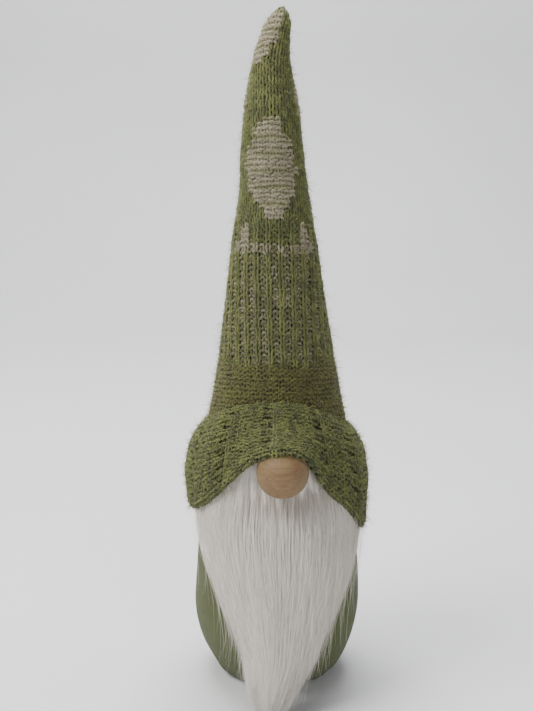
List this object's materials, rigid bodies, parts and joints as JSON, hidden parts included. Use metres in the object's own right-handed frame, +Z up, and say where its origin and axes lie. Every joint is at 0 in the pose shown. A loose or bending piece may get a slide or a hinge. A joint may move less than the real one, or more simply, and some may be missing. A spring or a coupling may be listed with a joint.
{
  "type": "tomte gnome figurine",
  "caption": "Nordic house-gnome figure: tall knitted hat with folded cuff over a wooden ball nose, long fur beard and weighted fleece body.",
  "frame": {"origin": "centre of the flat base, on the surface that the figure stands on", "axes": "+Z up to the tip of the hat, -Y out of the face, +X to the right as seen from in front"},
  "size_m": [0.118, 0.136, 0.405],
  "materials": {
    "body_fleece": "olive green brushed fleece",
    "base_board": "grey board",
    "bag_cloth": "plain cotton",
    "pellets": "loose pellets",
    "tie_cord": "twisted cotton cord",
    "stuffing": "fibre wadding",
    "nose_wood": "sanded, unvarnished",
    "glue": "clear hot glue",
    "fur_backing": "knitted backing",
    "beard_fur": "long soft pile",
    "hat_yarn": "hairy wool yarn, moss green with a pale contrast",
    "seam_yarn": "wool yarn",
    "wire": "bare soft wire"
  },
  "bodies": {
    "root": {"body_cover": "body_fleece", "base_disc": "base_board", "weight_bag": "bag_cloth", "weight_fill": "pellets", "weight_bag_tie": "tie_cord", "body_stuffing": "stuffing", "neck_tie": "tie_cord", "nose_ball": "nose_wood", "nose_glue": "glue", "beard_backing_top": "fur_backing", "beard_fur_top": "beard_fur", "hat_knit_base": "hat_yarn", "hat_stuffing_base": "stuffing", "hat_wire_base": "wire", "hat_seam_base": "seam_yarn"},
    "beard": {"beard_backing": "fur_backing", "beard_fur": "beard_fur"},
    "hat_middle": {"hat_knit_middle": "hat_yarn", "hat_stuffing_middle": "stuffing", "hat_wire_middle": "wire", "hat_seam_middle": "seam_yarn"},
    "hat_tip": {"hat_knit_tip": "hat_yarn", "hat_stuffing_tip": "stuffing", "hat_wire_tip": "wire", "hat_seam_tip": "seam_yarn"}
  },
  "joints": [
    {"name": "beard_lift", "type": "hinge", "parent": "root", "child": "beard", "pos_m": [0, -0.0502, 0.103], "axis": [-1, 0, 0], "range_deg": [0, 38]},
    {"name": "hat_bend", "type": "hinge", "parent": "root", "child": "hat_middle", "pos_m": [0, 0, 0.212], "axis": [0, 1, 0], "range_deg": [-35, 35]},
    {"name": "hat_tip_bend", "type": "hinge", "parent": "hat_middle", "child": "hat_tip", "pos_m": [0, 0, 0.338], "axis": [0, 1, 0], "range_deg": [-40, 40]}
  ]
}
